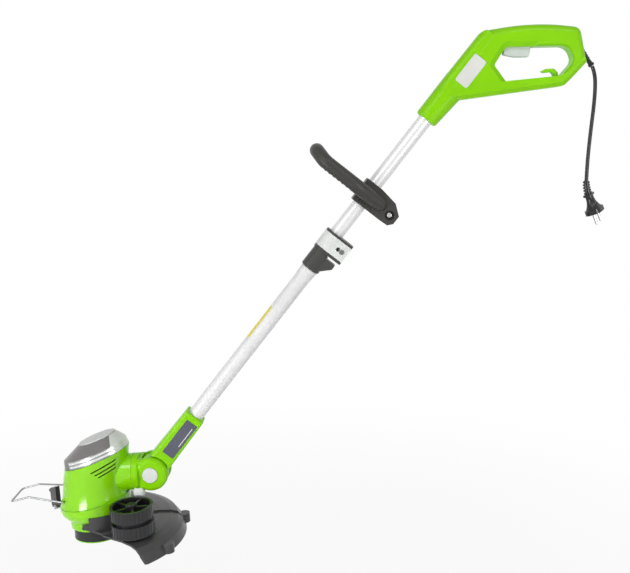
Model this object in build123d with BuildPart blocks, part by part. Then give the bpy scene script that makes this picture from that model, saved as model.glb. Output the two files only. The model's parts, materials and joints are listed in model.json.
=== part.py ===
from build123d import *
import os
from math import cos, sin, tan, radians

# Corded string trimmer, in millimetres.
# The object stands as it is held in use: +Z up, +X from the cutting head to the main handle,
# +Y to the far side. The origin is on the axis of the upper tube, where a clip would hold it.

os.makedirs("parts", exist_ok=True)

# Stance
SHAFT_ANGLE = 52.35     # tubes above the horizontal
HEAD_LEAN = 3.5         # motor axis leaning forwards from the vertical
CLIP_T = 718.0          # from the tilt pivot to the origin, along the tubes
CLIP_HALF = 62.0        # half length of the bare tube that a clip may hold

# Tubes, measured along the shaft from the tilt pivot
UPPER_R = 12.5
LOWER_R = 14.0
TUBE_WALL = 1.2
SLIDE_EASE = 0.06       # the upper tube is this much thinner where other pieces fit over it
UPPER_FROM = 230.0
UPPER_TO = 872.0
LOWER_FROM = 62.0
LOWER_TO = 500.0
FLARE_R = 15.4          # flared end of the lower tube below the clamp
FLARE_FROM = 441.0
FLARE_RISE = 20.0
FLARE_TO = 465.0

# Main handle
BARREL_R = 19.0
COLLAR_T = 787.0
BARREL_TO = 962.0
BELL_TO = 852.0
BELL_DROP = 7.0
MOUTH_DROP = 1.0
MOUTH_ROUND = 4.5
HANDLE_HALF = 18.6      # half thickness of the grip and body
BAR_HALF = 19.8         # half thickness of the raised lower bar
BAR_FACET = 6.5
WALL_SIDE = 4.0         # side wall of the half shells
GRIP_ROUND = 13.0
OPENING_ROUND = 7.0
VISOR_DEEP = 6.0
VISOR_TAPER = 53.0

# Trigger
TRIGGER_PIVOT = (177.0, 179.0)
TRIGGER_HALF = 7.0

# Mains cord and plug
CORD_D = 6.4
SLEEVE_FROM = (292.5, 181.0)
SLEEVE_TO = (321.0, 143.0)
CORD_ROUTE = [
    (321.0, 143.0),
    (326.0, 132.0),
    (328.2, 110.0),
    (327.4, 78.0),
    (324.2, 38.0),
    (321.8, 0.0),
    (320.9, -28.0),
    (320.9, -48.0),
]
NECK_RADIUS = 60.0      # bend of the plug's ribbed neck
NECK_TURN = 23.0
PLUG_LENGTH = 34.0
PLUG_TWIST = 50.0
PIN_R = 2.4
PIN_ROOT_R = 1.8
PIN_ROOT = 9.0
PIN_LENGTH = 19.0
PIN_PITCH = 19.0

# Front loop handle, in a plane across the upper tube
LOOP_T = 628.0
LOOP_BAR_R = 12.2
LOOP_TOP = 114.0        # from the tube axis to the middle of the cross bar
LOOP_HALF = 43.0        # from the tube axis to the middle of each arm
LOOP_CORNER = 24.0
LOOP_BEND = 6.0         # rise of the cross bar towards the main handle
SADDLE_HALF_T = 22.0
SADDLE_HALF_Y = 20.0
TAIL_X = 65.0
LOOP_BOLT = (50.7, 623.0)   # from the tube axis, and along the shaft
LOOP_BOLT_R = 3.0
KNOB_R = 12.0

# Telescope clamp
CLAMP_FROM = 466.0
CLAMP_TO = 542.0
CLAMP_R = 17.6
BAND_FROM = 508.0
BAND_TO = 538.0
BAND_CORE_R = 15.4
EAR_X = 36.5
LEVER_PIN = (31.0, -10.0)
LEVER_PIN_R = 2.0

# Shaft socket
SOCKET_FROM = 33.0
SOCKET_TO = 131.7
SOCKET_LOW = (42.0, 40.0)   # section at the tongue
SOCKET_HIGH = (37.0, 36.0)  # section at the mouth

# Tilt joint, in the head's frame
PIVOT_X = 108.4
PIVOT_Z = 115.2
CHEEK_R = 31.0
CHEEK_IN = 14.0
CHEEK_OUT = 27.0
CHEEK_ROUND = 8.5
TONGUE_R = 28.6
TONGUE_HALF = 13.6
PIVOT_PIN_R = 5.0
BUTTON_R = 14.0
NECK_R = 33.0
SEAM_X = 75.0           # plane of the swivel joint
SPIGOT_R = 20.0

# Motor head, heights above the underside of the spool
SKIRT_R = 47.5
SPOOL_R = 43.0
BASE_R = 63.0
SHELL_WALL = 3.0
BASE_SEAM = (71.2, 0.15)    # height at the motor axis, rise to the rear
CAP_SEAM = (145.4, 0.32)
FLOOR_Z = 44.0

# Guard
GUARD_R = 162.0
GUARD_MIDDLE = (-2.0, -11.0)  # middle of the rim, from the motor axis
GUARD_FROM = -113.0     # near end at the skirt, degrees from the rear
GUARD_TO = 137.0        # far end
GUARD_EDGE = [(-19.0, -45.0), (106.0, -130.0)]  # straight near edge, from the skirt to the rim
DECK_Z = 33.0
NEAR_DECK_Z = 30.0      # the deck under the edge wheel
CREASE_AT = 12.0        # step between the two levels, degrees round the rim's middle
RIM_Z = -4.0
GUARD_T = 3.2
BRACKET_R = 63.4        # wall that stands on the deck round the base

# Edge wheel
WHEEL_X = 81.7
WHEEL_Y = -75.0
WHEEL_R = 37.5
WHEEL_FROM = 33.5
WHEEL_TO = 82.0
WAIST_FROM = 54.0
WAIST_TO = 62.0
FLUTE_R = 2.0
FLUTE_OUT = 1.2         # flute centres beyond the rim
FLUTES = 32
AXLE_R = 5.0

# Wire plant guard
WIRE_R = 1.6
EYELET = (-46.0, 40.0, 79.0)

# Frames of the assembly: the shaft from the tilt pivot, the head from the spool's underside
lean = radians(HEAD_LEAN)
rise = radians(SHAFT_ANGLE)
shaft_dir = Vector(cos(rise), 0, sin(rise))
shaft_under = Vector(sin(rise), 0, -cos(rise))
head_x = Vector(cos(lean), 0, sin(lean))
head_z = Vector(-sin(lean), 0, cos(lean))
pivot = shaft_dir * -CLIP_T
HANDLE = Plane.XY
SHAFT = Plane(origin=pivot, x_dir=shaft_under, z_dir=shaft_dir)
HEAD = Plane(origin=pivot - head_x * PIVOT_X - head_z * PIVOT_Z, x_dir=head_x, z_dir=head_z)


def save(piece, name, frame):
    """Stand a finished piece in its frame, label it and write it."""
    piece.part = frame.location * piece.part
    piece.part.label = name
    export_step(piece.part, f"parts/{name}.step")


def on_shaft(t, across):
    """Point (x, z) of the handle's mid plane at a station of the shaft."""
    point = pivot + shaft_dir * t + shaft_under * across
    return (point.X, point.Z)


def turned(points):
    """Solid of revolution about Z from (radius, height) points."""
    with BuildPart() as body:
        with BuildSketch(Plane.XZ):
            with BuildLine():
                Polyline(*points, close=True)
            make_face()
        revolve(axis=Axis.Z)
    return body


def sleeve(radius, bore, low, high):
    """Plain tube about Z."""
    return turned([(bore, low), (radius, low), (radius, high), (bore, high)])


def across_y(x, z, y_from):
    """Plane at (x, y_from, z) whose normal is +Y."""
    return Plane(origin=(x, y_from, z), x_dir=(-1, 0, 0), z_dir=(0, 1, 0))


def along_x(x_from, z):
    """Plane at (x_from, 0, z) whose normal is +X."""
    return Plane(origin=(x_from, 0, z), x_dir=(0, 1, 0), z_dir=(1, 0, 0))


def screws_y(places, y_head, head_r, head_h, shank_r, length):
    """Cross-recessed screws along -Y, heads at y_head, as separate solids."""
    with BuildPart() as group:
        for x, z in places:
            with BuildSketch(across_y(x, z, y_head - head_h)):
                Circle(head_r)
            extrude(amount=head_h)
            with BuildSketch(across_y(x, z, y_head - head_h - length)):
                Circle(shank_r)
            extrude(amount=length)
            with BuildSketch(across_y(x, z, y_head - head_h / 2)):
                Rectangle(head_r * 1.2, head_r * 0.3)
                Rectangle(head_r * 0.3, head_r * 1.2)
            extrude(amount=head_h / 2, mode=Mode.SUBTRACT)
    return group


def screws_z(places, z_head, head_r, head_h, shank_r, length):
    """Cross-recessed screws pointing up from z_head, heads below, as separate solids."""
    with BuildPart() as group:
        for x, y in places:
            spot = Plane(origin=(x, y, z_head))
            with BuildSketch(spot):
                Circle(head_r)
            extrude(amount=head_h)
            with BuildSketch(spot.offset(head_h)):
                Circle(shank_r)
            extrude(amount=length)
            with BuildSketch(spot):
                Rectangle(head_r * 1.2, head_r * 0.3)
                Rectangle(head_r * 0.3, head_r * 1.2)
            extrude(amount=head_h / 2, mode=Mode.SUBTRACT)
    return group


# Main handle: outline of body and grip in the mid plane, drawn deeper than the lower bar
with BuildSketch(Plane.XZ) as handle_outline:
    with BuildLine():
        FilletPolyline(
            on_shaft(815, -10),
            on_shaft(850, -18.8),
            (132.3, 199.0),
            (222.0, 213.5),
            (295.5, 205.5),
            (308.8, 149.0),
            (302.0, 92.0),
            (125.0, 70.0),
            (105.0, 92.0),
            on_shaft(815, 10),
            radius=[0, 60, 18, 400, 14, 20, 30, 12, 18, 0],
            close=True,
        )
    make_face()
    with BuildLine():
        FilletPolyline(
            (154.0, 143.5),
            (172.0, 173.0),
            (277.0, 175.0),
            (287.0, 151.0),
            (265.0, 125.0),
            (174.5, 117.0),
            radius=[5, 15, 20, 14, 16, 4],
            close=True,
        )
    make_face(mode=Mode.SUBTRACT)

# What lies below this line is left to the lower bar
with BuildPart() as below_bar:
    with BuildSketch(Plane.XZ):
        with BuildLine():
            Polyline(
                (102.0, 86.0),
                (104.0, 97.0),
                (174.5, 110.5),
                (263.5, 119.5),
                (283.0, 130.0),
                (303.0, 152.0),
                (330.0, 152.0),
                (330.0, 40.0),
                (102.0, 40.0),
                close=True,
            )
        make_face()
    extrude(amount=2 * BAR_HALF, both=True)

# Crisp bevel round the front and top of the opening, above the trigger
with BuildSketch(Plane.XZ) as visor_outline:
    with BuildLine():
        FilletPolyline(
            (144.3, 143.5),
            (167.5, 181.0),
            (226.0, 182.1),
            (226.0, 150.0),
            (190.0, 123.0),
            (171.0, 108.5),
            radius=[5, 15, 0.5, 5, 5, 4],
            close=True,
        )
    make_face()
with BuildPart() as visor:
    with BuildSketch(Plane.XZ.offset(HANDLE_HALF)):
        add(visor_outline.sketch)
    extrude(amount=-VISOR_DEEP, taper=VISOR_TAPER)
    mirror(about=Plane.XZ)

# Lower bar, from the barrel to the rear corner, with a facet along its underside
with BuildSketch(Plane.XZ) as bar_outline:
    with BuildLine():
        FilletPolyline(
            (100.0, 87.0),
            (271.0, 110.0),
            (284.5, 123.4),
            (308.0, 149.5),
            (301.0, 158.0),
            (280.5, 136.0),
            (263.5, 126.0),
            (174.5, 117.2),
            (108.0, 106.5),
            (78.5, 96.0),
            radius=[0, 13, 30, 0, 4, 12, 20, 60, 40, 2],
            close=True,
        )
    make_face()

# Round barrel that carries the upper tube on into the handle
with BuildPart() as barrel:
    with BuildSketch(SHAFT.offset(BELL_TO)):
        Circle(BARREL_R)
    extrude(amount=BARREL_TO - BELL_TO)

# Round mouth of the handle, widening towards the lower bar
with BuildPart() as bell:
    for along, drop in ((COLLAR_T, MOUTH_DROP), (BELL_TO, BELL_DROP)):
        with BuildSketch(SHAFT.offset(along)):
            with Locations((drop / 2, 0)):
                SlotCenterToCenter(drop, 2 * BARREL_R)
    loft(ruled=True)
    fillet(bell.faces().sort_by(Axis.Z)[0].edges(), radius=MOUTH_ROUND)

with BuildPart() as barrel_limit:
    extrude(handle_outline.sketch, amount=BARREL_R + 2, both=True)
    with BuildSketch(SHAFT.offset(COLLAR_T - 2)):
        Circle(BARREL_R + 2)
    extrude(amount=85)

# Cord hook that stands on the lower bar inside the opening
with BuildPart() as hook:
    with BuildSketch(Plane.XZ):
        with BuildLine():
            FilletPolyline(
                (264.5, 116.0),
                (263.0, 132.0),
                (256.5, 138.8),
                (243.0, 138.4),
                (232.5, 133.6),
                (241.0, 131.6),
                (250.5, 133.2),
                (254.5, 129.5),
                (254.5, 116.0),
                radius=[0, 4, 5, 10, 1.2, 6, 3, 3, 0],
                close=True,
            )
        make_face()
    extrude(amount=5, both=True)
    fillet(hook.faces().filter_by(Axis.Y).edges(), radius=1)

# Hollow for the switch, the wires and the tube
with BuildPart() as handle_hollow:
    with BuildSketch(Plane.XZ):
        with BuildLine():
            FilletPolyline(
                (121.0, 166.0),
                (134.0, 188.0),
                (150.0, 193.0),
                (222.0, 205.5),
                (286.0, 198.5),
                (297.0, 164.0),
                (291.0, 162.0),
                (280.0, 181.0),
                (168.0, 181.0),
                (149.0, 147.0),
                (165.0, 122.0),
                (128.0, 115.5),
                (112.0, 121.0),
                radius=3,
                close=True,
            )
        make_face()
    extrude(amount=HANDLE_HALF - WALL_SIDE, both=True)
    with BuildSketch(SHAFT.offset(COLLAR_T - 5)):
        Circle(UPPER_R + 0.05)
    extrude(amount=UPPER_TO + 0.5 - COLLAR_T + 5)
    with BuildSketch(SHAFT.offset(UPPER_TO)):
        Circle(UPPER_R - 2)
    extrude(amount=50)
    with BuildSketch(Plane.XZ):
        with BuildLine():
            Polyline((166, 150), (219, 150), (219, 190), (166, 190), close=True)
        make_face()
    extrude(amount=TRIGGER_HALF + 0.5, both=True)
    with BuildSketch(across_y(*TRIGGER_PIVOT, -13.6)):
        Circle(2.05)
    extrude(amount=27.2)

sleeve_dir = Vector(SLEEVE_TO[0] - SLEEVE_FROM[0], 0, SLEEVE_TO[1] - SLEEVE_FROM[1]).normalized()
SLEEVE = Plane(
    origin=(SLEEVE_FROM[0], 0, SLEEVE_FROM[1]),
    x_dir=(0, 1, 0),
    z_dir=sleeve_dir,
)
SLEEVE_GAP = 0.75       # room for the cord's bend at the sleeve's tip
sleeve_length = (Vector(*SLEEVE_TO) - Vector(*SLEEVE_FROM)).length - SLEEVE_GAP

# Cord sleeve: flange inside the handle, ribbed taper outside, round lip at the tip
SLEEVE_R = 5.6
SLEEVE_TIP_R = 4.3
FLANGE_R = 6.2
rib_points = [(0.4, -14), (FLANGE_R, -14), (FLANGE_R, -10), (SLEEVE_R, -10), (SLEEVE_R, 10)]
RIBS = 5
RIB_STEP = 5.0
for rib in range(RIBS):
    low = 10 + rib * RIB_STEP
    radius = SLEEVE_R - (SLEEVE_R - SLEEVE_TIP_R) * rib / RIBS
    rib_points += [(radius, low + 3.4), (radius - 1.0, low + 3.8), (radius - 1.0, low + 5)]
rib_points += [(SLEEVE_TIP_R - 0.3, sleeve_length - 5), (5.2, sleeve_length - 4.4)]
rib_points += [(5.2, sleeve_length - 1), (4.4, sleeve_length), (0.4, sleeve_length)]
cord_sleeve = turned(rib_points)

with BuildPart() as sleeve_room:
    with BuildSketch(SLEEVE.offset(-14.2)):
        Circle(FLANGE_R + 0.2)
    extrude(amount=4.4)
    with BuildSketch(SLEEVE.offset(-14.2)):
        Circle(SLEEVE_R + 0.15)
    extrude(amount=70)

with BuildPart() as handle_body:
    extrude(handle_outline.sketch, amount=HANDLE_HALF, both=True)
    flats = handle_body.faces().filter_by(Axis.Y)
    fillet([edge for flat in flats for edge in flat.outer_wire().edges()], radius=GRIP_ROUND)
    flats = handle_body.faces().filter_by(Axis.Y)
    opening_rims = [flat.inner_wires()[0] for flat in flats]
    fillet([edge for rim in opening_rims for edge in rim.edges()], radius=OPENING_ROUND)
    add(below_bar.part, mode=Mode.SUBTRACT)
    add(visor.part, mode=Mode.SUBTRACT)
    add(barrel.part.intersect(barrel_limit.part))
    add(bell.part)
    add(hook.part)

with BuildPart() as bar_band:
    extrude(bar_outline.sketch, amount=BAR_HALF, both=True)
    flanks = bar_band.faces().filter_by(Axis.Y)
    chamfer([flank.edges().sort_by(SortBy.LENGTH)[-1] for flank in flanks], length=BAR_FACET)

HANDLE_SCREWS = [(108.0, 98.5), (140.0, 176.0), (243.0, 193.0), (203.0, 111.0), (297.0, 152.0)]
PLATE_MIDDLE = (114.0, 133.4)
PLATE_SIZE = (25.0, 54.0)
PLATE_FACE = Plane(
    origin=(PLATE_MIDDLE[0], -HANDLE_HALF, PLATE_MIDDLE[1]),
    x_dir=shaft_under,
    z_dir=(0, -1, 0),
)

with BuildPart() as side_plate:
    with BuildSketch(PLATE_FACE):
        RectangleRounded(*PLATE_SIZE, 3)
    extrude(amount=1.1)
    fillet(side_plate.faces().sort_by(Axis.Y)[0].edges(), radius=0.4)


def handle_shell(side, keep):
    """One half of the handle, with its screw bosses; side is -1 near, +1 far."""
    with BuildPart() as half:
        add(handle_body.part)
        add(bar_band.part)
        add(handle_hollow.part, mode=Mode.SUBTRACT)
        split(bisect_by=Plane.XZ, keep=keep)
        for x, z in HANDLE_SCREWS:
            with BuildSketch(across_y(x, z, 0)):
                Circle(5)
            extrude(amount=side * (HANDLE_HALF - 3))
            with BuildSketch(across_y(x, z, 0)):
                Circle(1.8)
            extrude(amount=side * 12, mode=Mode.SUBTRACT)
            if side > 0:
                with BuildSketch(across_y(x, z, 10)):
                    Circle(3.8)
                extrude(amount=BAR_HALF, mode=Mode.SUBTRACT)
        add(sleeve_room.part, mode=Mode.SUBTRACT)
        if side < 0:
            add(side_plate.part, mode=Mode.SUBTRACT)
    return half


save(handle_shell(-1, Keep.TOP), "handle_near_shell", HANDLE)
save(handle_shell(1, Keep.BOTTOM), "handle_far_shell", HANDLE)
save(side_plate, "side_plate", HANDLE)
save(screws_y(HANDLE_SCREWS, 12.4, 3.5, 2.4, 1.7, 21), "handle_screws", HANDLE)
save(cord_sleeve, "cord_sleeve", SLEEVE)

# Trigger, its pin, its return spring and the switch above it
with BuildPart() as trigger:
    with BuildSketch(Plane.XZ):
        with BuildLine():
            FilletPolyline(
                (169.5, 161.0),
                (188.0, 157.5),
                (212.5, 157.5),
                (215.0, 172.0),
                (215.0, 181.0),
                (182.0, 185.0),
                (171.0, 180.0),
                radius=[3, 20, 3, 12, 2, 4, 4],
                close=True,
            )
        make_face()
    extrude(amount=TRIGGER_HALF, both=True)
    fillet(trigger.faces().filter_by(Axis.Y).edges(), radius=1.6)
    with BuildSketch(across_y(*TRIGGER_PIVOT, -10)):
        Circle(2.06)
    extrude(amount=20, mode=Mode.SUBTRACT)
save(trigger, "trigger", HANDLE)

with BuildPart() as trigger_pin:
    with BuildSketch(across_y(*TRIGGER_PIVOT, -13)):
        Circle(2.0)
    extrude(amount=26)
save(trigger_pin, "trigger_pin", HANDLE)

SWITCH_FROM = (192.0, 190.5)
SWITCH_SIZE = (34.0, 8.5)
with BuildPart() as switch:
    with BuildSketch(Plane.XZ):
        with Locations((SWITCH_FROM[0] + SWITCH_SIZE[0] / 2, SWITCH_FROM[1] + SWITCH_SIZE[1] / 2)):
            RectangleRounded(*SWITCH_SIZE, 1)
    extrude(amount=8, both=True)
    for x in (206.0, 222.0):
        with BuildSketch(Plane(origin=(x, 0, SWITCH_FROM[1] + SWITCH_SIZE[1]))):
            Rectangle(1, 6)
        extrude(amount=2)
save(switch, "switch", HANDLE)

SPRING_FOOT = (207.0, 182.9)
spring_length = SWITCH_FROM[1] - 0.2 - SPRING_FOOT[1]
SPRING_PLANE = Plane(origin=(SPRING_FOOT[0], 0, SPRING_FOOT[1]))
save(sleeve(3.4, 2.4, 0, spring_length), "trigger_spring", SPRING_PLANE)

# Mains cord, as a tube along its route, and the plug it hangs by
route = [Vector(x, 0, z) for x, z in CORD_ROUTE]
cord_radii = []
for before, here, after in zip(route, route[1:], route[2:]):
    turn = (here - before).get_angle(after - here)
    shorter = min((here - before).length, (after - here).length)
    cord_radii.append(0.45 * shorter / tan(radians(turn / 2)))
print("cord radii", [round(radius, 1) for radius in cord_radii])
with BuildPart() as power_cord:
    with BuildLine() as cord_path:
        FilletPolyline(*route, radius=cord_radii)
    with BuildSketch(Plane(origin=route[0], x_dir=(0, 1, 0), z_dir=route[1] - route[0])):
        Circle(CORD_D / 2)
    sweep(path=cord_path.wires()[0])
cord_length = cord_path.wires()[0].length
cord_section = 3.14159265 * CORD_D ** 2 / 4
print("cord length", round(cord_length, 1), "section x length", round(cord_section * cord_length))
print("cord volume", round(power_cord.part.volume))
save(power_cord, "power_cord", HANDLE)

neck_top = route[-1]
turn = radians(NECK_TURN)
neck_end = neck_top + Vector(NECK_RADIUS * (1 - cos(turn)), 0, -NECK_RADIUS * sin(turn))
neck_mid = neck_top + Vector(NECK_RADIUS * (1 - cos(turn / 2)), 0, -NECK_RADIUS * sin(turn / 2))
plug_axis = Vector(sin(turn), 0, -cos(turn))
plug_side = Vector(cos(turn), 0, sin(turn))
twist = radians(PLUG_TWIST)
PLUG = Plane(
    origin=neck_end,
    x_dir=plug_side * cos(twist) + Vector(0, 1, 0) * sin(twist),
    z_dir=plug_axis,
)
NECK_RIBS = 5


def neck_plane(share):
    """Plane square to the plug's bent neck at a share of its length."""
    bend = turn * share
    middle = neck_top + Vector(NECK_RADIUS * (1 - cos(bend)), 0, -NECK_RADIUS * sin(bend))
    return Plane(origin=middle, x_dir=(0, 1, 0), z_dir=(sin(bend), 0, -cos(bend)))


with BuildPart() as plug_body:
    with BuildLine() as neck_path:
        ThreePointArc(neck_top, neck_mid, neck_end)
    with BuildSketch(neck_plane(0)):
        Circle(4.4)
    sweep(path=neck_path.wires()[0])
    for rib in range(NECK_RIBS):
        with BuildSketch(neck_plane(0.06 + rib * 0.19)):
            Circle(5.8 + 0.25 * rib)
        extrude(amount=2.9)
    with BuildSketch(PLUG.offset(-1)):
        RectangleRounded(20, 15, 4)
    extrude(amount=3.5)
    for height, width, depth in ((2.0, 15.0, 13.0), (14.0, 17.0, 15.0), (26.0, 33.0, 25.0)):
        with BuildSketch(PLUG.offset(height)):
            RectangleRounded(width, depth, depth / 2 - 0.6)
    loft()
    with BuildSketch(PLUG.offset(26)):
        RectangleRounded(36, 28, 12)
    extrude(amount=PLUG_LENGTH - 26)
    for side in (-1, 1):
        with Locations(PLUG.offset(12) * Pos(0, side * 9.5, 0)):
            Box(11, 4, 14, mode=Mode.SUBTRACT)
        with BuildSketch(PLUG.offset(PLUG_LENGTH - PIN_ROOT - 0.1)):
            with Locations((side * PIN_PITCH / 2, 0)):
                Circle(PIN_ROOT_R + 0.05)
        extrude(amount=PIN_ROOT + 0.1, mode=Mode.SUBTRACT)
save(plug_body, "plug_body", HANDLE)

with BuildPart() as plug_pins:
    for side in (-1, 1):
        with BuildSketch(PLUG.offset(PLUG_LENGTH - PIN_ROOT)):
            with Locations((side * PIN_PITCH / 2, 0)):
                Circle(PIN_ROOT_R)
        extrude(amount=PIN_ROOT + 1)
        with BuildSketch(PLUG.offset(PLUG_LENGTH + 0.02)):
            with Locations((side * PIN_PITCH / 2, 0)):
                Circle(PIN_R)
        extrude(amount=PIN_LENGTH)
    tips = plug_pins.faces().filter_by(GeomType.PLANE).sort_by(Axis.Z)[:2]
    fillet([tip.edges()[0] for tip in tips], radius=1.8)
save(plug_pins, "plug_pins", HANDLE)

# Tubes and the guide bush between them
upper_tube = turned([
    (UPPER_R - TUBE_WALL, UPPER_FROM),
    (UPPER_R - SLIDE_EASE, UPPER_FROM),
    (UPPER_R - SLIDE_EASE, CLIP_T - CLIP_HALF),
    (UPPER_R, CLIP_T - CLIP_HALF),
    (UPPER_R, CLIP_T + CLIP_HALF),
    (UPPER_R - SLIDE_EASE, CLIP_T + CLIP_HALF),
    (UPPER_R - SLIDE_EASE, UPPER_TO),
    (UPPER_R - TUBE_WALL, UPPER_TO),
])
save(upper_tube, "upper_tube", SHAFT)
lower_tube = turned([
    (LOWER_R - TUBE_WALL, LOWER_FROM),
    (LOWER_R, LOWER_FROM),
    (LOWER_R, FLARE_FROM),
    (FLARE_R, FLARE_FROM + FLARE_RISE),
    (FLARE_R, FLARE_TO),
    (LOWER_R, FLARE_TO),
    (LOWER_R, LOWER_TO),
    (LOWER_R - TUBE_WALL, LOWER_TO),
])
save(lower_tube, "lower_tube", SHAFT)
BUSH_R = LOWER_R - TUBE_WALL - 0.06
guide_bush = turned([
    (8.0, UPPER_FROM - 14),
    (BUSH_R, UPPER_FROM - 14),
    (BUSH_R, UPPER_FROM - 0.05),
    (UPPER_R - TUBE_WALL - 0.06, UPPER_FROM - 0.05),
    (UPPER_R - TUBE_WALL - 0.06, UPPER_FROM + 22),
    (8.0, UPPER_FROM + 22),
])
save(guide_bush, "guide_bush", SHAFT)

# Lead from the switch to the motor: a straight run in each tube, joined by its slack
LEAD_R = 3.2
save(sleeve(LEAD_R, 0.6, UPPER_FROM + 150, UPPER_TO - 4), "upper_lead", SHAFT)
save(sleeve(LEAD_R, 0.6, LOWER_FROM + 4, UPPER_FROM - 70), "lower_lead", SHAFT)

# Front loop handle: bent bar, saddle round the tube and split tail with the clamp bolt
loop_route = [
    (26, -19, LOOP_T),
    (-24, -LOOP_HALF, LOOP_T),
    (22 - LOOP_TOP, -LOOP_HALF, LOOP_T),
    (-LOOP_TOP, -LOOP_HALF + 19, LOOP_T + LOOP_BEND),
]
loop_route += [(x, -y, t) for x, y, t in reversed(loop_route)]
with BuildPart() as loop_handle:
    with BuildLine() as loop_path:
        FilletPolyline(*loop_route, radius=[55, *[LOOP_CORNER] * 4, 55])
    with BuildSketch(Plane(loop_path.line @ 0, x_dir=(0, 0, 1), z_dir=loop_path.line % 0)):
        Circle(LOOP_BAR_R)
    sweep(path=loop_path.wires()[0])
    with Locations(loop_route[0], loop_route[-1]):
        Sphere(LOOP_BAR_R)
    with BuildSketch(Plane.XZ):
        with BuildLine():
            Polyline(
                (-17, LOOP_T - SADDLE_HALF_T),
                (TAIL_X - 24, LOOP_T - SADDLE_HALF_T),
                (TAIL_X - 7, LOOP_T - 21),
                (TAIL_X, LOOP_T - 13),
                (TAIL_X, LOOP_T + 3),
                (TAIL_X - 18, LOOP_T + SADDLE_HALF_T - 5),
                (14, LOOP_T + SADDLE_HALF_T),
                (-17, LOOP_T + SADDLE_HALF_T),
                close=True,
            )
        make_face()
    extrude(amount=SADDLE_HALF_Y, both=True)
    with BuildSketch(Plane.XY.offset(LOOP_T - 40)):
        Circle(UPPER_R + 0.08)
    extrude(amount=80, mode=Mode.SUBTRACT)
    with Locations((TAIL_X / 2 + 10, 0, LOOP_T)):
        Box(TAIL_X, 2.4, 80, mode=Mode.SUBTRACT)
    with BuildSketch(across_y(*LOOP_BOLT, -40)):
        Circle(LOOP_BOLT_R + 0.1)
    extrude(amount=80, mode=Mode.SUBTRACT)
    with BuildSketch(across_y(*LOOP_BOLT, -40)):
        Circle(8.5)
    extrude(amount=28, mode=Mode.SUBTRACT)
    for tooth in range(5):
        with Locations((-6 + tooth * 6, -SADDLE_HALF_Y, LOOP_T - 15)):
            Box(3, 3, 5, mode=Mode.SUBTRACT)
    for side in (-1, 1):
        for rib in range(7):
            with Locations((-88 + rib * 9, side * LOOP_HALF, LOOP_T - LOOP_BAR_R)):
                Box(5, 9, 3, mode=Mode.SUBTRACT)
save(loop_handle, "loop_handle", SHAFT)

with BuildPart() as loop_bolt:
    with BuildSketch(across_y(*LOOP_BOLT, -16)):
        Circle(4.8)
    extrude(amount=4)
    fillet(loop_bolt.faces().sort_by(Axis.Y)[0].edges(), radius=1.5)
    with BuildSketch(across_y(*LOOP_BOLT, -16)):
        RegularPolygon(2.6, 6)
    extrude(amount=2.4, mode=Mode.SUBTRACT)
    with BuildSketch(across_y(*LOOP_BOLT, -12)):
        Circle(LOOP_BOLT_R)
    extrude(amount=42)
save(loop_bolt, "loop_bolt", SHAFT)

with BuildPart() as loop_knob:
    with BuildSketch(across_y(*LOOP_BOLT, SADDLE_HALF_Y + 0.4)):
        Circle(KNOB_R)
        with PolarLocations(KNOB_R + 1, 6):
            Circle(3.0, mode=Mode.SUBTRACT)
        Circle(LOOP_BOLT_R + 0.05, mode=Mode.SUBTRACT)
    extrude(amount=14)
    fillet(loop_knob.faces().sort_by(Axis.Y)[-1].outer_wire().edges(), radius=1.5)
save(loop_knob, "loop_knob", SHAFT)

# Telescope clamp: collar on the lower tube with ears, lever, pin, bolt
def ear_plate(low, high):
    """Flange of the clamp with its ear, between two heights."""
    with BuildPart() as plate:
        with BuildSketch(Plane.XY.offset(low)):
            Circle(CLAMP_R + 1.4)
            with BuildLine():
                FilletPolyline(
                    (0, -19),
                    (EAR_X, -17),
                    (EAR_X, 17),
                    (0, 19),
                    radius=[0, 5, 5, 0],
                    close=True,
                )
            make_face()
        extrude(amount=high - low)
    return plate


with BuildPart() as clamp_collar:
    with BuildSketch(Plane.XY.offset(CLAMP_FROM)):
        Circle(CLAMP_R)
    extrude(amount=BAND_FROM - 1 - CLAMP_FROM)
    fillet(clamp_collar.faces().sort_by(Axis.Z)[0].edges(), radius=1.5)
    with BuildSketch(Plane.XZ):
        with BuildLine():
            Polyline((0, 470), (17, 474), (31, 488))
            Line((31, 488), (31, 497))
            Line((31, 497), (0, 497))
            Line((0, 497), (0, 470))
        make_face()
    extrude(amount=13, both=True)
    add(ear_plate(503.0, BAND_FROM).part)
    with BuildSketch(Plane.XY.offset(BAND_FROM)):
        Circle(BAND_CORE_R)
        with Locations((18.3, 0)):
            Rectangle(12.6, 17)
    extrude(amount=BAND_TO - BAND_FROM)
    add(ear_plate(BAND_TO, CLAMP_TO).part)
    with BuildSketch(Plane.XY.offset(CLAMP_FROM - 1)):
        Circle(LOWER_R + 0.02)
    extrude(amount=LOWER_TO - CLAMP_FROM + 1, mode=Mode.SUBTRACT)
    with BuildSketch(Plane.XY.offset(CLAMP_FROM)):
        Circle(UPPER_R + 0.08)
    extrude(amount=CLAMP_TO, mode=Mode.SUBTRACT)
    with Locations((28, 0, 520)):
        Box(34, 2.2, 46.0, mode=Mode.SUBTRACT)
    with Locations((28, 0, 500)):
        Box(34, 50, 6.0, mode=Mode.SUBTRACT)
    with BuildSketch(Plane.XY.offset(CLAMP_FROM)):
        with Locations(LEVER_PIN):
            Circle(LEVER_PIN_R + 0.02)
    extrude(amount=100, mode=Mode.SUBTRACT)
    with BuildSketch(across_y(21.5, 523, -30)):
        Circle(2.05)
    extrude(amount=60, mode=Mode.SUBTRACT)
save(clamp_collar, "clamp_collar", SHAFT)

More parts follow.
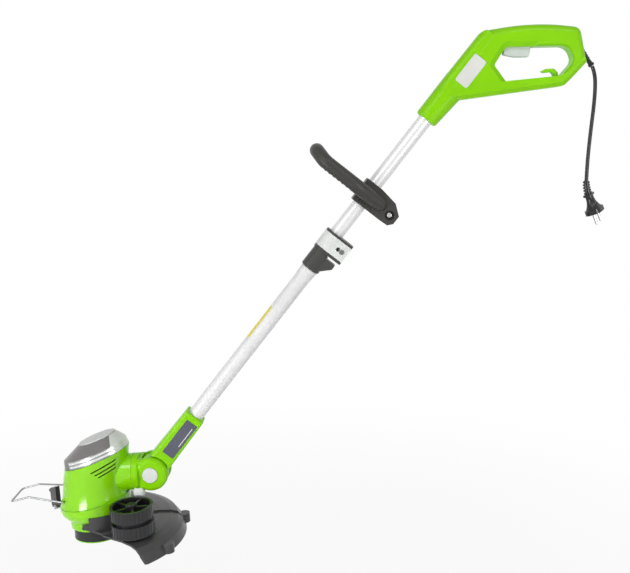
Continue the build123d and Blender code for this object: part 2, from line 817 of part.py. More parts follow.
with BuildPart() as clamp_bolt:
    with BuildSketch(across_y(21.5, 523, -8.4)):
        Circle(2.0)
    extrude(amount=17)
    with BuildSketch(across_y(21.5, 523, 8.6)):
        RegularPolygon(4.4, 6)
    extrude(amount=3.2)
save(clamp_bolt, "clamp_bolt", SHAFT)

with BuildPart() as lever_pin:
    with BuildSketch(Plane.XY.offset(502.6)):
        with Locations(LEVER_PIN):
            Circle(LEVER_PIN_R)
    extrude(amount=CLAMP_TO + 0.4 - 502.6)
save(lever_pin, "lever_pin", SHAFT)

LEVER_SCREW = (25.5, 523.0)
with BuildPart() as clamp_lever:
    with BuildSketch(Plane.XY.offset(BAND_FROM + 0.4)):
        with BuildLine():
            CenterArc((0, 0), 19.4, 165, 105)
            Line((0, -19.4), (36.0, -17.4))
            Line((36.0, -17.4), (36.0, -6.0))
            Line((36.0, -6.0), (26.5, -6.0))
            Line((26.5, -6.0), (26.5, -14.2))
            Line((26.5, -14.2), (0, -15.9))
            CenterArc((0, 0), 15.9, 270, -105)
            Line(
                (15.9 * cos(radians(165)), 15.9 * sin(radians(165))),
                (19.4 * cos(radians(165)), 19.4 * sin(radians(165))),
            )
        make_face()
        with Locations(LEVER_PIN):
            Circle(LEVER_PIN_R + 0.06, mode=Mode.SUBTRACT)
    extrude(amount=BAND_TO - BAND_FROM - 0.8)
    with BuildSketch(across_y(*LEVER_SCREW, -20)):
        Circle(4.8)
    extrude(amount=2.6, mode=Mode.SUBTRACT)
    with BuildSketch(across_y(*LEVER_SCREW, -20)):
        Circle(1.6)
        with Locations((8, 0)):
            Circle(3.8)
    extrude(amount=8, mode=Mode.SUBTRACT)
save(clamp_lever, "clamp_lever", SHAFT)

with BuildPart() as lever_screw:
    with BuildSketch(across_y(*LEVER_SCREW, -18.6)):
        Circle(4.2)
    extrude(amount=1.2)
    with BuildSketch(across_y(*LEVER_SCREW, -18.6)):
        Rectangle(7.0, 1.2)
    extrude(amount=0.7, mode=Mode.SUBTRACT)
    with BuildSketch(across_y(*LEVER_SCREW, -17.5)):
        Circle(1.5)
    extrude(amount=2.6)
save(lever_screw, "lever_screw", SHAFT)

# Shaft socket in two halves, with the tongue of the tilt joint
SOCKET_SCREWS = [(-15.0, 50.0), (15.0, 50.0)]
with BuildPart() as socket_body:
    with BuildSketch(Plane.XY.offset(20)):
        RectangleRounded(*SOCKET_LOW, 6)
    with BuildSketch(Plane.XY.offset(SOCKET_TO)):
        RectangleRounded(*SOCKET_HIGH, 4)
    loft()
    fillet(socket_body.faces().sort_by(Axis.Z)[-1].edges(), radius=2)
    with BuildSketch(across_y(0, 0, -40)):
        Circle(SOCKET_FROM)
    extrude(amount=80, mode=Mode.SUBTRACT)
    with BuildSketch(across_y(0, 0, -TONGUE_HALF)):
        Circle(TONGUE_R)
        with Locations((0, 24)):
            Rectangle(32, 48)
    extrude(amount=2 * TONGUE_HALF)
    with BuildSketch(Plane.XY.offset(LOWER_FROM)):
        Circle(LOWER_R + 0.02)
    extrude(amount=SOCKET_TO, mode=Mode.SUBTRACT)
    with BuildSketch(Plane.XY.offset(10)):
        Circle(6)
    extrude(amount=80, mode=Mode.SUBTRACT)
    with BuildSketch(across_y(0, 0, -40)):
        Circle(PIVOT_PIN_R + 0.06)
    extrude(amount=80, mode=Mode.SUBTRACT)

PANEL_T = 83.5
PANEL_SIZE = (23.0, 74.0)
face_taper = (SOCKET_LOW[1] - SOCKET_HIGH[1]) / 2 / (SOCKET_TO - 20)
face_y = SOCKET_LOW[1] / 2 - face_taper * (PANEL_T - 20)
PANEL = Plane(origin=(3, 0.4 - face_y, PANEL_T), x_dir=(1, 0, 0), z_dir=(0, -1, face_taper))
with BuildPart() as socket_panel:
    with BuildSketch(PANEL):
        RectangleRounded(*PANEL_SIZE, 2)
    extrude(amount=1.0)
    with BuildSketch(PANEL.offset(1.0)):
        with Locations((6.5, 8)):
            RectangleRounded(1.6, 40, 0.7)
    extrude(amount=-0.4, mode=Mode.SUBTRACT)


def socket_half(side, keep):
    """Half of the shaft socket; the far half has the screw heads' counterbores."""
    with BuildPart() as half:
        add(socket_body.part)
        split(bisect_by=Plane.XZ, keep=keep)
        for x, t in SOCKET_SCREWS:
            with BuildSketch(across_y(x, t, 0)):
                Circle(1.6)
            extrude(amount=side * 9, mode=Mode.SUBTRACT)
            if side > 0:
                with BuildSketch(across_y(x, t, 8)):
                    Circle(3.2)
                extrude(amount=20, mode=Mode.SUBTRACT)
        if side < 0:
            add(socket_panel.part, mode=Mode.SUBTRACT)
            with BuildSketch(PANEL):
                RectangleRounded(*PANEL_SIZE, 2)
            extrude(amount=5, mode=Mode.SUBTRACT)
    return half


save(socket_half(-1, Keep.TOP), "socket_near_half", SHAFT)
save(socket_half(1, Keep.BOTTOM), "socket_far_half", SHAFT)
save(socket_panel, "socket_panel", SHAFT)
save(screws_y(SOCKET_SCREWS, 10.2, 3.0, 2.0, 1.5, 16), "socket_screws", SHAFT)

# Thumb latch of the swivel, on a rail below the near cheek
LATCH_Y = -20.0
LATCH_LOW = 75.5
LATCH_HIGH = 94.0
LATCH_FROM = 75.7
LATCH_TO = 96.0
RAIL_X = 91.0

# Tilt joint: yoke in two halves on the swivel spigot, pin, button and spring
with BuildPart() as cheeks:
    with BuildSketch(across_y(PIVOT_X, PIVOT_Z, -CHEEK_OUT)):
        Circle(CHEEK_R)
        with Locations((CHEEK_R / 2 - 4, 0)):
            Rectangle(CHEEK_R - 8, 2 * CHEEK_R - 6)
    extrude(amount=2 * CHEEK_OUT)
    fillet(cheeks.faces().filter_by(Axis.Y).edges(), radius=CHEEK_ROUND)

with BuildPart() as yoke_body:
    with BuildSketch(along_x(SEAM_X + 0.4, PIVOT_Z)):
        Circle(NECK_R)
    extrude(amount=12)
    fillet(yoke_body.faces().sort_by(Axis.X)[-1].edges(), radius=3)
    add(cheeks.part)
    with BuildSketch(across_y(PIVOT_X, PIVOT_Z, -CHEEK_IN)):
        Circle(CHEEK_R - 1.2)
        with Locations((16 - 1.5 * CHEEK_R, 0)):
            Rectangle(3 * CHEEK_R, 4 * CHEEK_R)
    extrude(amount=2 * CHEEK_IN, mode=Mode.SUBTRACT)
    with BuildSketch(along_x(58, PIVOT_Z)):
        Circle(SPIGOT_R)
    extrude(amount=SEAM_X + 0.4 - 58)
    with BuildSketch(along_x(50, PIVOT_Z)):
        Circle(8)
    extrude(amount=40, mode=Mode.SUBTRACT)
    with BuildSketch(across_y(PIVOT_X, PIVOT_Z, -60)):
        Circle(PIVOT_PIN_R + 0.02)
    extrude(amount=120, mode=Mode.SUBTRACT)
    with BuildSketch(across_y(PIVOT_X, PIVOT_Z, -60)):
        Circle(BUTTON_R + 0.35)
    extrude(amount=60 - CHEEK_IN - 2.5, mode=Mode.SUBTRACT)
    with BuildSketch(across_y(PIVOT_X, PIVOT_Z, CHEEK_OUT - 6)):
        Circle(9)
    extrude(amount=40, mode=Mode.SUBTRACT)
    with Locations((RAIL_X + 2, LATCH_Y, PIVOT_Z - CHEEK_R)):
        Box(14.2, 5.1, 8.2, mode=Mode.SUBTRACT)


def yoke_half(keep):
    """Half of the yoke, cut at the mid plane."""
    with BuildPart() as half:
        add(yoke_body.part)
        split(bisect_by=Plane.XZ, keep=keep)
    return half


save(yoke_half(Keep.TOP), "yoke_near_half", HEAD)
save(yoke_half(Keep.BOTTOM), "yoke_far_half", HEAD)

with BuildPart() as pivot_pin:
    with BuildSketch(across_y(PIVOT_X, PIVOT_Z, -CHEEK_IN - 2)):
        Circle(PIVOT_PIN_R)
    extrude(amount=CHEEK_IN + 2 + CHEEK_OUT - 6)
    with BuildSketch(across_y(PIVOT_X, PIVOT_Z, CHEEK_OUT - 6)):
        Circle(8.4)
    extrude(amount=3.6)
    fillet(pivot_pin.faces().sort_by(Axis.Y)[-1].edges(), radius=1.2)
    with BuildSketch(across_y(PIVOT_X, PIVOT_Z, CHEEK_OUT - 4.6)):
        RegularPolygon(3.6, 6)
    extrude(amount=5, mode=Mode.SUBTRACT)
save(pivot_pin, "pivot_pin", HEAD)

BUTTON_FACE = -CHEEK_OUT - 2.5
with BuildPart() as tilt_button:
    with BuildSketch(across_y(PIVOT_X, PIVOT_Z, BUTTON_FACE)):
        Circle(BUTTON_R)
    extrude(amount=7.5)
    fillet(tilt_button.faces().sort_by(Axis.Y)[0].edges(), radius=2)
    with BuildSketch(across_y(PIVOT_X, PIVOT_Z, BUTTON_FACE + 3)):
        Circle(10)
    extrude(amount=8, mode=Mode.SUBTRACT)
save(tilt_button, "tilt_button", HEAD)

with BuildPart() as button_spring:
    with BuildSketch(across_y(PIVOT_X, PIVOT_Z, BUTTON_FACE + 3.1)):
        Circle(8.6)
        Circle(7.4, mode=Mode.SUBTRACT)
    extrude(amount=-BUTTON_FACE - 3.2 - CHEEK_IN - 2.5)
save(button_spring, "button_spring", HEAD)

with BuildPart() as swivel_ring:
    with BuildSketch(along_x(52, PIVOT_Z)):
        Circle(SPIGOT_R + 4.5)
        Circle(8.5, mode=Mode.SUBTRACT)
    extrude(amount=5.8)
save(swivel_ring, "swivel_ring", HEAD)

with BuildPart() as swivel_latch:
    with BuildSketch(along_x(LATCH_FROM, (LATCH_LOW + LATCH_HIGH) / 2)):
        with Locations((-22.5, 0)):
            RectangleRounded(19, LATCH_HIGH - LATCH_LOW, 8)
    extrude(amount=LATCH_TO - LATCH_FROM)
    for end in (0, -1):
        fillet(swivel_latch.faces().sort_by(Axis.X)[end].edges(), radius=7)
    with BuildSketch(along_x(60, PIVOT_Z)):
        Circle(NECK_R + 0.35)
    extrude(amount=60, mode=Mode.SUBTRACT)
    with Locations((100.8, 0, PIVOT_Z)):
        Box(40, 2 * CHEEK_OUT + 1, 2 * CHEEK_R + 1.2, mode=Mode.SUBTRACT)
    with Locations((RAIL_X, LATCH_Y, PIVOT_Z - CHEEK_R)):
        Box(8, 5, 6)
save(swivel_latch, "swivel_latch", HEAD)


def head_plane(height, rise_to_rear):
    """Plane across the head, tilted up to the rear, from its height at the motor axis."""
    return Plane(
        origin=(0, 0, height),
        x_dir=Vector(1, 0, rise_to_rear).normalized(),
        z_dir=Vector(-rise_to_rear, 0, 1).normalized(),
    )


# Motor housing: tapered shell from the base seam to the cap seam, with the swivel neck
def housing_loft(inset):
    """Solid of the housing's outer form, drawn in by a wall."""
    with BuildPart() as form:
        for height, middle, half_x, half_y in (
            (48.0, 0.0, 63.5, 62.5),
            (66.0, 0.5, 61.8, 60.5),
            (84.0, 1.5, 58.2, 56.3),
            (112.0, 3.0, 55.6, 52.5),
            (130.0, 6.9, 55.9, 51.0),
            (150.0, 9.9, 57.2, 49.3),
            (172.0, 13.1, 58.4, 47.2),
        ):
            with BuildSketch(Plane(origin=(middle, 0, height))):
                Ellipse(half_x - inset, half_y - inset)
        loft()
    return form


VENTS = [((34.0, 143.6), 52.0), ((37.5, 137.6), 46.0), ((40.0, 132.0), 39.0)]
VENT_TILT = 23.0
VENT_H = 2.4
with BuildPart() as motor_housing:
    add(housing_loft(0).part)
    with BuildSketch(along_x(30, PIVOT_Z)):
        Circle(NECK_R)
    extrude(amount=SEAM_X - 30)
    split(bisect_by=head_plane(*CAP_SEAM), keep=Keep.BOTTOM)
    split(bisect_by=head_plane(*BASE_SEAM), keep=Keep.TOP)
    add(housing_loft(SHELL_WALL).part, mode=Mode.SUBTRACT)
    with BuildSketch(along_x(10, PIVOT_Z)):
        Circle(SPIGOT_R + 0.06)
    extrude(amount=SEAM_X, mode=Mode.SUBTRACT)
    with BuildSketch(along_x(45, PIVOT_Z)):
        Circle(SPIGOT_R + 5)
    extrude(amount=12.9, mode=Mode.SUBTRACT)
    for side in (-1, 1):
        for (x, z), length in VENTS:
            with BuildSketch(across_y(x, z, side * 65)):
                SlotOverall(length, VENT_H, rotation=-VENT_TILT)
            extrude(amount=-side * 35, mode=Mode.SUBTRACT)
    for side in (-1, 1):
        with BuildSketch(across_y(EYELET[0], EYELET[2], side * (EYELET[1] - 10))):
            Circle(5.5)
        extrude(amount=side * 4)
        with BuildSketch(across_y(EYELET[0], EYELET[2], side * (EYELET[1] - 12))):
            Circle(WIRE_R + 0.06)
        extrude(amount=side * 20, mode=Mode.SUBTRACT)
save(motor_housing, "motor_housing", HEAD)

# Base: wide rim below the seam, tapering to the skirt round the spool, with a floor
GUARD_SCREWS = [(53.0, 0.0), (40.6, 34.1), (40.6, -34.1)]
base_outer = [
    (0, FLOOR_Z),
    (SKIRT_R - 3, FLOOR_Z),
    (SKIRT_R - 3, 24),
    (SKIRT_R, 24),
    (SKIRT_R, 39),
    (55, 43.5),
    (60.5, 50),
    (BASE_R, 57),
    (BASE_R, 90),
    (0, 90),
]
with BuildPart() as housing_base:
    add(turned(base_outer).part)
    split(bisect_by=head_plane(BASE_SEAM[0] - 0.2, BASE_SEAM[1]), keep=Keep.BOTTOM)
    with BuildSketch(Plane.XY.offset(FLOOR_Z + 5)):
        Circle(BASE_R - 8)
    extrude(amount=60, mode=Mode.SUBTRACT)
    with BuildSketch(Plane.XY.offset(FLOOR_Z + 13)):
        Circle(BASE_R - 4)
    extrude(amount=60, mode=Mode.SUBTRACT)
    with BuildSketch(Plane.XY):
        Circle(15)
    extrude(amount=60, mode=Mode.SUBTRACT)
    with BuildSketch(Plane.XY.offset(20)):
        with BuildLine():
            Polyline((2, -70), (80, -70), (80, 80), (-30, 80), (-10, 20), (2, 0), close=True)
        make_face()
    extrude(amount=FLOOR_Z - 4.5 - 20, mode=Mode.SUBTRACT)
    for x, y in GUARD_SCREWS:
        with BuildSketch(Plane(origin=(x, y, DECK_Z))):
            Circle(1.65)
        extrude(amount=FLOOR_Z + 4 - DECK_Z, mode=Mode.SUBTRACT)
save(housing_base, "housing_base", HEAD)

# Cap: upright band and slanting facet above the seam, top panel, two bright strips each side
CAP_SECTIONS = [
    (0.3, 11.1, 61.9, 49.2),
    (14.5, 12.8, 59.2, 47.1),
    (31.0, 24.0, 36.0, 29.0),
]


def cap_form(inset):
    """Solid of the cap on the tilted seam."""
    base = head_plane(*CAP_SEAM)
    with BuildPart() as form:
        for height, middle, half_x, half_y in CAP_SECTIONS:
            spot = base.offset(height - (inset if height > 1 else 0.8 * (inset > 0)))
            with BuildSketch(Plane(spot.location * Pos(middle, 0, 0))):
                Ellipse(half_x - inset, half_y - inset)
        loft(ruled=True)
    return form


with BuildPart() as motor_cap:
    add(cap_form(0).part)
    add(cap_form(SHELL_WALL).part, mode=Mode.SUBTRACT)
save(motor_cap, "motor_cap", HEAD)

PANEL_TOP = Plane(head_plane(*CAP_SEAM).offset(31.1).location * Pos(24, 0, 0))
with BuildPart() as cap_panel:
    with BuildSketch(PANEL_TOP):
        Ellipse(34, 27)
    extrude(amount=2.2)
    fillet(cap_panel.faces().sort_by(Axis.Z)[-1].edges(), radius=1)
save(cap_panel, "cap_panel", HEAD)

with BuildPart() as cap_shroud:
    add(cap_form(-1.2).part)
    add(cap_form(0.0).part, mode=Mode.SUBTRACT)

TRIM_LOW = [3.2, 9.4]
TRIM_H = 3.4
with BuildPart() as trim_bands:
    for low in TRIM_LOW:
        for side in (-1, 1):
            with Locations(head_plane(*CAP_SEAM).offset(low + TRIM_H / 2) * Pos(14, side * 45, 0)):
                Box(86, 40, TRIM_H)

with BuildPart() as cap_trim:
    add(cap_shroud.part)
    add(trim_bands.part, mode=Mode.INTERSECT)
save(cap_trim, "cap_trim", HEAD)

# Motor: stator can, rotor on the shaft, fan and two bearings
save(sleeve(37, 25, 92, 132), "motor_stator", HEAD)
save(sleeve(24, 4.05, 94, 130), "motor_rotor", HEAD)
save(sleeve(4.0, 0.5, 9, 146), "motor_shaft", HEAD)
with BuildPart() as bearings:
    for low in (50.0, 136.0):
        with BuildSketch(Plane.XY.offset(low)):
            Circle(9)
            Circle(4.06, mode=Mode.SUBTRACT)
        extrude(amount=6)
save(bearings, "motor_bearings", HEAD)
with BuildPart() as fan:
    with BuildSketch(Plane.XY.offset(76)):
        Circle(32)
        Circle(4.05, mode=Mode.SUBTRACT)
    extrude(amount=2)
    with BuildSketch(Plane.XY.offset(76)):
        Circle(9)
        Circle(4.05, mode=Mode.SUBTRACT)
    extrude(amount=10)
    for blade in range(9):
        with Locations(Location((0, 0, 80.5), (0, 0, blade * 40)) * Pos(18.7, 0, 0)):
            Box(23, 1.6, 8)
save(fan, "cooling_fan", HEAD)
CAN_R = 40.0
with BuildPart() as bearing_carrier:
    add(turned([
        (9.02, 49.1),
        (CAN_R, 49.1),
        (CAN_R, 132),
        (37.05, 132),
        (37.05, 52),
        (13, 52),
        (13, 56.2),
        (9.02, 56.2),
    ]).part)
    add(turned([
        (5, 132.1),
        (CAN_R, 132.1),
        (CAN_R, 135),
        (13, 135),
        (13, 142.2),
        (9.02, 142.2),
        (9.02, 135.9),
        (5, 135.9),
    ]).part)
    with BuildSketch(Plane.XY.offset(66)):
        Rectangle(2 * CAN_R + 10, 24)
        Rectangle(24, 2 * CAN_R + 10)
    extrude(amount=22, mode=Mode.SUBTRACT)
save(bearing_carrier, "bearing_carrier", HEAD)

# Guard: deck and rolled rim swept round the motor axis, cut straight on the near side
HUB_FLAT = 68.0


def deck_top(level):
    """Upper line of the guard's section, from the hub to the rim."""
    return [
        (SKIRT_R / 2, DECK_Z),
        (HUB_FLAT, DECK_Z),
        (HUB_FLAT + 5, level),
        (GUARD_R - 47, level),
        (GUARD_R - 26, level - 2.5),
        (GUARD_R - 14, level - 7),
        (GUARD_R - 5, 13.5),
        (GUARD_R, RIM_Z),
    ]


def deck_under(level):
    """Lower line of the guard's section, from the rim back to the hub."""
    return [
        (GUARD_R - GUARD_T, RIM_Z),
        (GUARD_R - 8, 12.0),
        (GUARD_R - 16, level - 7 - GUARD_T),
        (GUARD_R - 27.2, level - 2.5 - GUARD_T),
        (GUARD_R - 48, level - GUARD_T),
        (HUB_FLAT + 5, level - GUARD_T),
        (HUB_FLAT, DECK_Z - GUARD_T),
        (SKIRT_R / 2, DECK_Z - GUARD_T),
    ]


# Sections and their sweep: near level, riser at the crease, far level
guard_sweeps = [
    (NEAR_DECK_Z, NEAR_DECK_Z, GUARD_FROM, CREASE_AT),
    (DECK_Z, NEAR_DECK_Z, CREASE_AT, CREASE_AT + 1.5),
    (DECK_Z, DECK_Z, CREASE_AT + 1.5, GUARD_TO),
]
RIM = Plane(origin=(*GUARD_MIDDLE, 0))
LUGS = [-27.0, 18.0]
LUG_R = 11.0
CUTTER_AT = 128.0
CUTTER_R = GUARD_R - 19
CUTTER_Z = 18.5
END_BLOCK_AT = 134.0
END_LOW = 18.0          # the rim stops at this height beside the end block
edge_slope = (GUARD_EDGE[1][1] - GUARD_EDGE[0][1]) / (GUARD_EDGE[1][0] - GUARD_EDGE[0][0])
with BuildPart() as guard:
    for top_level, under_level, start, end in guard_sweeps:
        with BuildSketch(Plane(RIM.location * Plane.XZ.rotated((0, 0, start)).location)):
            with BuildLine():
                Polyline(*deck_top(top_level), *deck_under(under_level), close=True)
            make_face()
        revolve(axis=Axis((*GUARD_MIDDLE, 0), (0, 0, 1)), revolution_arc=end - start)
    with BuildSketch(Plane.XY.offset(RIM_Z - 1)):
        Circle(SKIRT_R + 0.5)
    extrude(amount=DECK_Z - RIM_Z + 2, mode=Mode.SUBTRACT)
    with BuildSketch(Plane.XY.offset(RIM_Z - 1)):
        with BuildLine():
            Polyline(
                (GUARD_EDGE[0][0] - 30, GUARD_EDGE[0][1] - 30 * edge_slope),
                (GUARD_EDGE[1][0] - 5, GUARD_EDGE[1][1] - 5 * edge_slope),
                (GUARD_EDGE[1][0] + 30, GUARD_EDGE[1][1] + 7),
                (GUARD_EDGE[1][0] + 30, -200),
                (GUARD_EDGE[0][0] - 100, -200),
                close=True,
            )
        make_face()
    extrude(amount=DECK_Z - RIM_Z + 2, mode=Mode.SUBTRACT)
    with BuildSketch(Plane.XZ.rotated((0, 0, -104))):
        with BuildLine():
            Polyline((51, DECK_Z - 2), (55, DECK_Z - 2), (55, 42.3), (51, 39.8), close=True)
        make_face()
    revolve(axis=Axis.Z, revolution_arc=208)
    with BuildSketch(Plane.XZ.rotated((0, 0, -88))):
        with BuildLine():
            Polyline(
                (BRACKET_R, DECK_Z - 1),
                (BRACKET_R + 3, DECK_Z - 1),
                (BRACKET_R + 3, 57),
                (BRACKET_R, 57),
                close=True,
            )
        make_face()
    revolve(axis=Axis.Z, revolution_arc=148)
    for lug in LUGS:
        with BuildSketch(Plane(RIM.location * Location((0, 0, RIM_Z + 1), (0, 0, lug)))):
            with Locations((GUARD_R - 2, 0)):
                Circle(LUG_R)
            with Locations((GUARD_R - 16, 0)):
                Rectangle(20, 2 * LUG_R, mode=Mode.SUBTRACT)
        extrude(amount=17)
    with Locations(RIM.location * Location((0, 0, END_LOW - 12), (0, 0, END_BLOCK_AT - 8))):
        with Locations((GUARD_R, 0, 0)):
            Box(40, 84, 24, mode=Mode.SUBTRACT)
    with BuildSketch(Plane(RIM.location * Plane.XZ.rotated((0, 0, END_BLOCK_AT)).location)):
        with BuildLine():
            Polyline(
                (GUARD_R - 23, END_LOW),
                (GUARD_R, END_LOW),
                (GUARD_R, END_LOW + 25),
                (GUARD_R + 6.5, END_LOW + 29),
                (GUARD_R - 4, END_LOW + 36),
                (GUARD_R - 23, END_LOW + 42),
                close=True,
            )
        make_face()
    extrude(amount=4.5, both=True)
    with Locations(RIM.location * Location((0, 0, CUTTER_Z), (0, 0, CUTTER_AT)) * Pos(CUTTER_R, 9, 0)):
        Box(1.5, 28.2, 9.1, mode=Mode.SUBTRACT)
    for x, y in GUARD_SCREWS:
        with BuildSketch(Plane(origin=(x, y, DECK_Z - GUARD_T - 1))):
            Circle(1.65)
        extrude(amount=30, mode=Mode.SUBTRACT)
save(guard, "guard", HEAD)
save(screws_z(GUARD_SCREWS, DECK_Z - GUARD_T - 2.2, 3.5, 2.2, 1.6, 17), "guard_screws", HEAD)

# Line cutter: steel blade inside the rim at the guard's far end
with BuildPart() as line_cutter:
    with Locations(RIM.location * Location((0, 0, CUTTER_Z), (0, 0, CUTTER_AT)) * Pos(CUTTER_R, 9, 0)):
        Box(1.4, 28, 9)
save(line_cutter, "line_cutter", HEAD)

# Edge wheel: two fluted rings joined by a narrower waist, hub with pockets, on its axle
def wheel_form():
    """Wheel body about its own axle, standing on its lower face."""
    height = WHEEL_TO - WHEEL_FROM
    with BuildPart() as wheel:
        with BuildSketch():
            Circle(WHEEL_R)
            Circle(AXLE_R + 0.06, mode=Mode.SUBTRACT)
        extrude(amount=height)
        with BuildSketch(Plane.XY.offset(WAIST_FROM - WHEEL_FROM)):
            Circle(WHEEL_R + 1)
            Circle(WHEEL_R - 7, mode=Mode.SUBTRACT)
        extrude(amount=WAIST_TO - WAIST_FROM, mode=Mode.SUBTRACT)
        with BuildSketch():
            with PolarLocations(WHEEL_R + FLUTE_OUT, FLUTES):
                Circle(FLUTE_R)
        extrude(amount=height, mode=Mode.SUBTRACT)
        with BuildSketch(Plane.XY.offset(height - 12)):
            Circle(WHEEL_R - 5)
            Circle(10, mode=Mode.SUBTRACT)
        extrude(amount=12, mode=Mode.SUBTRACT)
        for spoke in range(5):
            with Locations(Location((0, 0, height - 7.5), (0, 0, spoke * 72)) * Pos(21.5, 0, 0)):
                Box(24, 4, 10)
    return wheel


WHEEL = Plane(HEAD.location * Pos(WHEEL_X, WHEEL_Y, WHEEL_FROM))
save(wheel_form(), "edge_wheel", WHEEL)
wheel_axle = turned([
    (0, -3.4),
    (9, -3.4),
    (9, -0.4),
    (AXLE_R, -0.4),
    (AXLE_R, WHEEL_TO - WHEEL_FROM + 0.4),
    (8, WHEEL_TO - WHEEL_FROM + 0.4),
    (7.2, WHEEL_TO - WHEEL_FROM + 2.6),
    (0, WHEEL_TO - WHEEL_FROM + 2.6),
])
save(wheel_axle, "wheel_axle", WHEEL)

# Spool: housing on the motor shaft, reel with its line, green cover and bump knob
spool_housing = turned([
    (4.05, 22.6),
    (SPOOL_R, 22.6),
    (SPOOL_R, 3.1),
    (SPOOL_R - 3, 3.1),
    (SPOOL_R - 3, 17),
    (9, 17),
    (9, 12),
    (4.05, 12),
])
save(spool_housing, "spool_housing", HEAD)
spool_cover = turned([(19, 0.5), (SPOOL_R - 1, 0.5), (SPOOL_R + 0.5, 1.4), (SPOOL_R + 0.5, 2.9), (19, 2.9)])
save(spool_cover, "spool_cover", HEAD)
spool_reel = turned([
    (9.3, 6),
    (38.5, 6),
    (38.5, 7.4),
    (16, 7.4),
    (16, 14.6),
    (38.5, 14.6),
    (38.5, 16),
    (9.3, 16),
])
save(spool_reel, "spool_reel", HEAD)
save(sleeve(33, 16.1, 7.6, 14.4), "line_winding", HEAD)
bump_knob = turned([(0, -4), (14, -4), (18, -1.5), (18, 3), (8, 3), (8, 5.5), (0, 5.5)])
save(bump_knob, "bump_knob", HEAD)
save(sleeve(7.5, 6.5, 5.7, 11.8), "bump_spring", HEAD)

# Wire plant guard in front, hooked into the housing's eyelets
wire_route = [
    (EYELET[0], EYELET[1] - 9, EYELET[2]),
    (EYELET[0], EYELET[1], EYELET[2]),
    (-72, 36.5, 83),
    (-110.7, 30, 89.4),
    (-143, 30, 82.5),
]
wire_route += [(x, -y, z) for x, y, z in reversed(wire_route)]
with BuildPart() as wire_guard:
    with BuildLine() as wire_path:
        FilletPolyline(*wire_route, radius=[4, 30, 8, 6, 6, 8, 30, 4])
    with BuildSketch(Plane(wire_path.line @ 0, z_dir=wire_path.line % 0)):
        Circle(WIRE_R)
    sweep(path=wire_path.wires()[0])
save(wire_guard, "wire_guard", HEAD)
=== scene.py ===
import json
import math

import bpy
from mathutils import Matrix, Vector


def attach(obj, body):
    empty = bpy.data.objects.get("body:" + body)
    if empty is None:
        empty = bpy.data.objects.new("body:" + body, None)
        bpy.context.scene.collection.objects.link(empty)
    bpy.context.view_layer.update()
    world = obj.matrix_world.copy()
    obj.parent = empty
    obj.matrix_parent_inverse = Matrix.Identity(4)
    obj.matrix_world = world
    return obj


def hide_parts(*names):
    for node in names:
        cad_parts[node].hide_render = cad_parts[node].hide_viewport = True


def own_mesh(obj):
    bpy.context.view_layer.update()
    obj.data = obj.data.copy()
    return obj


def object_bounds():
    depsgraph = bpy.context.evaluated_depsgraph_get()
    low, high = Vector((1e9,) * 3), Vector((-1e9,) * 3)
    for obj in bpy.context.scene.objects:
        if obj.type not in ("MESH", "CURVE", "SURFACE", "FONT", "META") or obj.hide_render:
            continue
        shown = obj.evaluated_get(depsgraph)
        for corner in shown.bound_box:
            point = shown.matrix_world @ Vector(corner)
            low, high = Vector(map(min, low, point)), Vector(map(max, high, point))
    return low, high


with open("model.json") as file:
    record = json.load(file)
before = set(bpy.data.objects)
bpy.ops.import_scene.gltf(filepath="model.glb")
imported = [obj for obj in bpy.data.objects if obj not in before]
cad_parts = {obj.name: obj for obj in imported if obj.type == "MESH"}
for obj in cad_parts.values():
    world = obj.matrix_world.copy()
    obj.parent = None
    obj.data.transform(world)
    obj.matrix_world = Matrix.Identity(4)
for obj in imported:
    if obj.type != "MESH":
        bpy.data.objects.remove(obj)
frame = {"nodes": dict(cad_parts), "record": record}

cad_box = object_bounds()
nodes = frame["nodes"]
scene = bpy.context.scene
scene.view_settings.view_transform = "Standard"

# Shaft and motor head at rest, in the row frame; lengths are in metres
SHAFT_ANGLE = math.radians(52.35)
SHAFT_DIR = Vector((math.cos(SHAFT_ANGLE), 0, math.sin(SHAFT_ANGLE)))
SHAFT_UNDER = Vector((math.sin(SHAFT_ANGLE), 0, -math.cos(SHAFT_ANGLE)))
PIVOT_ALONG = -0.718        # tilt pivot on the shaft's axis
PIVOT = SHAFT_DIR * PIVOT_ALONG
HEAD_LEAN = math.radians(3.5)
HEAD_X = Vector((math.cos(HEAD_LEAN), 0, math.sin(HEAD_LEAN)))
HEAD_Z = Vector((-math.sin(HEAD_LEAN), 0, math.cos(HEAD_LEAN)))
HEAD_AHEAD = 0.1084         # from the pivot forward to the motor's axis
HEAD_BELOW = 0.1152         # from the pivot down to the head's zero level
HEAD_ORIGIN = PIVOT - HEAD_X * HEAD_AHEAD - HEAD_Z * HEAD_BELOW
SIDE = Vector((0, 1, 0))

# The cap sits on a seam that rises to the rear
SEAM_LEVEL = 0.1454
SEAM_SLOPE = 0.32
SEAM_POINT = HEAD_ORIGIN + HEAD_Z * SEAM_LEVEL
SEAM_TILT = math.atan(SEAM_SLOPE)
CAP_UP = HEAD_Z * math.cos(SEAM_TILT) - HEAD_X * math.sin(SEAM_TILT)
CAP_REAR = HEAD_X * math.cos(SEAM_TILT) + HEAD_Z * math.sin(SEAM_TILT)

# What all the surfaces share
PATCH_SCALE = 14.0
PATCH_DETAIL = 5
PATCH_FROM, PATCH_TO = 0.3, 0.7         # noise values of the darkest and the lightest tone
GRAIN_DETAIL = 3
EDGE_RADIUS = 0.0008                    # reach of the wear along edges
EDGE_SAMPLES = 4
WEAR_FROM, WEAR_TO = 0.99, 0.82         # cosine between true and softened normal
WORN_FACTOR, WORN_LIFT = 0.55, 0.42     # what the worn colour does to the plain one
SMOOTHEST = 0.02


